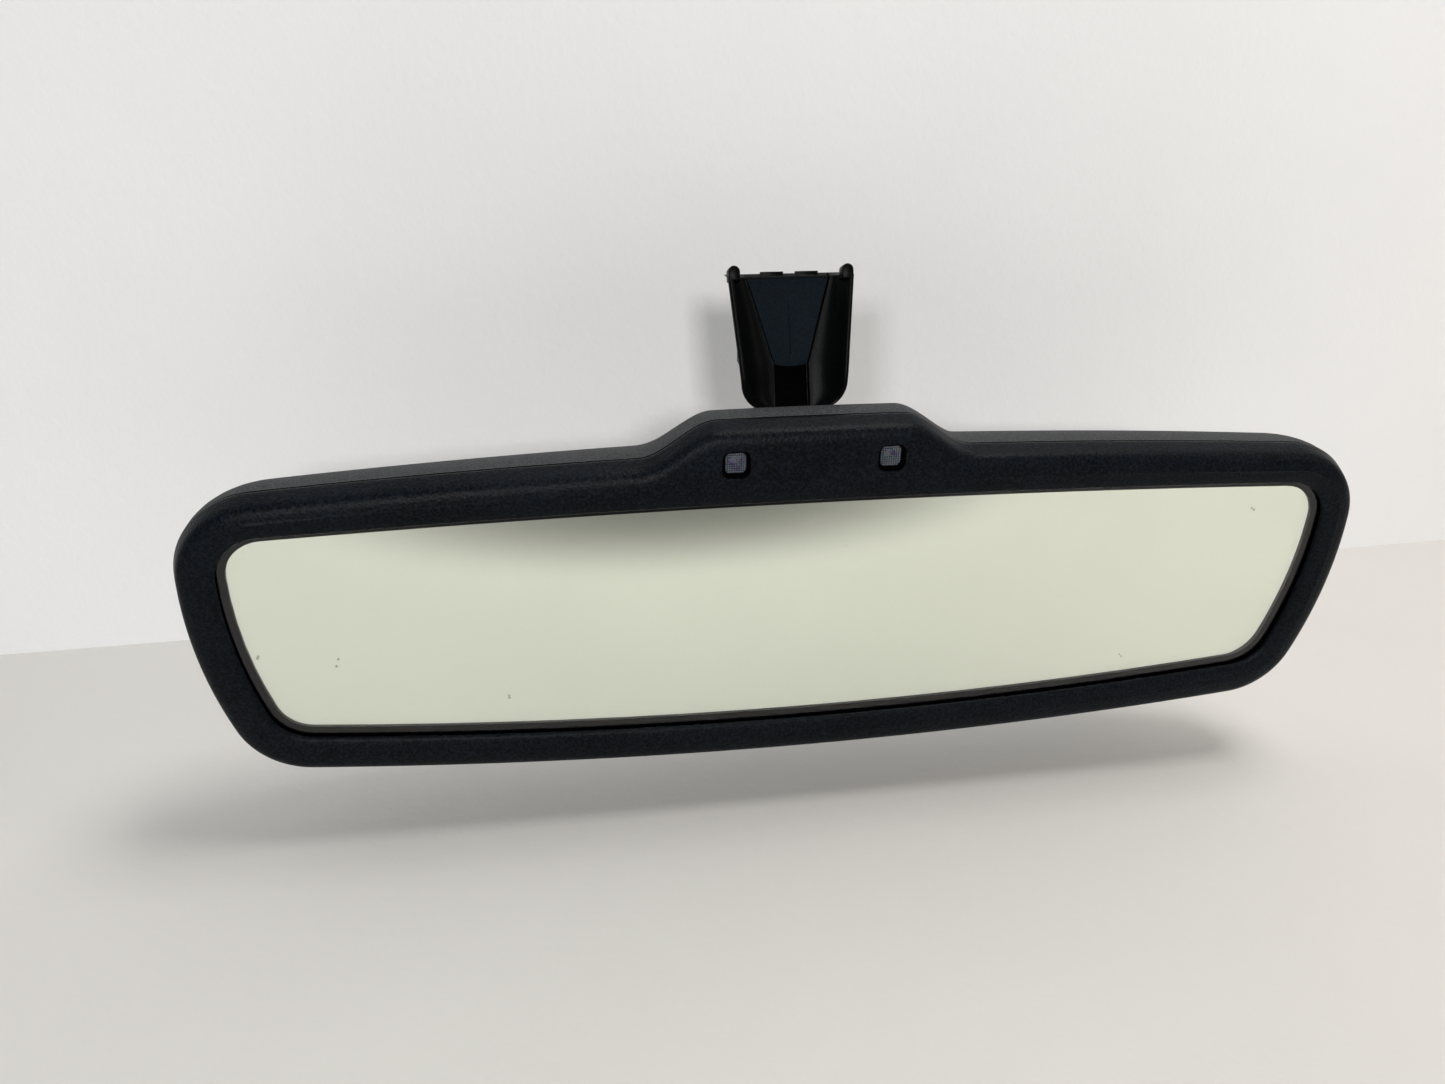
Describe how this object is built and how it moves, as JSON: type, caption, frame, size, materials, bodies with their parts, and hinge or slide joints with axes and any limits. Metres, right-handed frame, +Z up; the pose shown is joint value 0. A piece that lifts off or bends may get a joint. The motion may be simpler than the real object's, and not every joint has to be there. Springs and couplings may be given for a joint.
{
  "type": "interior rearview mirror",
  "caption": "Auto-dimming interior rearview mirror head with microphone hump, on a ball joint and a windshield-button mount with a moulded stem cover.",
  "frame": {"origin": "middle of the windshield-button channel, on the mount face that lies against the windshield", "axes": "+Z up along the button channel, +Y out of the seat face towards the windshield, +X to the right of a driver facing the glass; the glass faces -Y"},
  "size_m": [0.2562, 0.044, 0.106],
  "materials": {
    "case_plastic": "fine grain, matt",
    "bezel_plastic": "leather grain, satin",
    "mirror_glass": "clear pane",
    "seal_epoxy": "cured epoxy",
    "mirror_coating": "silvered",
    "spring_metal": "cold rolled",
    "foam": "foam",
    "carrier_plastic": "moulded",
    "board_laminate": "solder mask",
    "screw_steel": "zinc plated",
    "chip_plastic": "moulded",
    "sensor_plastic": "clear epoxy",
    "clear_plastic": "clear moulded",
    "connector_plastic": "moulded",
    "contact_brass": "gold flashed",
    "mesh_metal": "woven",
    "boot_rubber": "moulded",
    "capsule_metal": "pressed",
    "plate_steel": "zinc plated",
    "socket_plastic": "moulded",
    "cup_steel": "pressed",
    "liner_plastic": "acetal",
    "stud_steel": "turned",
    "bracket_zinc": "die cast, black coat",
    "screw_black": "black oxide",
    "cover_plastic": "satin moulded",
    "panel_plastic": "satin moulded"
  },
  "bodies": {
    "mount": {"mount_bracket": "bracket_zinc", "set_screw": "screw_black", "ball_stud": "stud_steel", "stem_cover": "cover_plastic", "cover_panel": "panel_plastic"},
    "liner": {"ball_liner": "liner_plastic"},
    "cup": {"pressure_cup": "cup_steel", "retaining_ring": "cup_steel"},
    "head": {"rear_case": "case_plastic", "bezel": "bezel_plastic", "front_glass": "mirror_glass", "glass_seal": "seal_epoxy", "rear_glass": "mirror_coating", "bus_clip_top": "spring_metal", "bus_clip_bottom": "spring_metal", "foam_pad": "foam", "carrier_plate": "carrier_plastic", "circuit_board": "board_laminate", "board_screws": "screw_steel", "board_chips": "chip_plastic", "glare_sensor": "sensor_plastic", "ambient_sensor": "sensor_plastic", "light_pipe": "clear_plastic", "connector_header": "connector_plastic", "connector_pins": "contact_brass", "mic_mesh_left": "mesh_metal", "mic_mesh_right": "mesh_metal", "mic_boot_left": "boot_rubber", "mic_boot_right": "boot_rubber", "mic_capsule_left": "capsule_metal", "mic_capsule_right": "capsule_metal", "socket_plate": "plate_steel", "socket_screws": "screw_steel", "socket_housing": "socket_plastic", "wave_spring": "spring_metal"}
  },
  "joints": [
    {"name": "pan", "type": "hinge", "parent": "mount", "child": "liner", "pos_m": [0, -0.021, -0.047], "axis": [0, 0, 1], "range_deg": [-13, 13]},
    {"name": "tilt", "type": "hinge", "parent": "liner", "child": "cup", "pos_m": [0, -0.021, -0.047], "axis": [1, 0, 0], "range_deg": [-4, 13]},
    {"name": "roll", "type": "hinge", "parent": "cup", "child": "head", "pos_m": [0, -0.021, -0.047], "axis": [0, 1, 0], "range_deg": [-5, 5]}
  ]
}
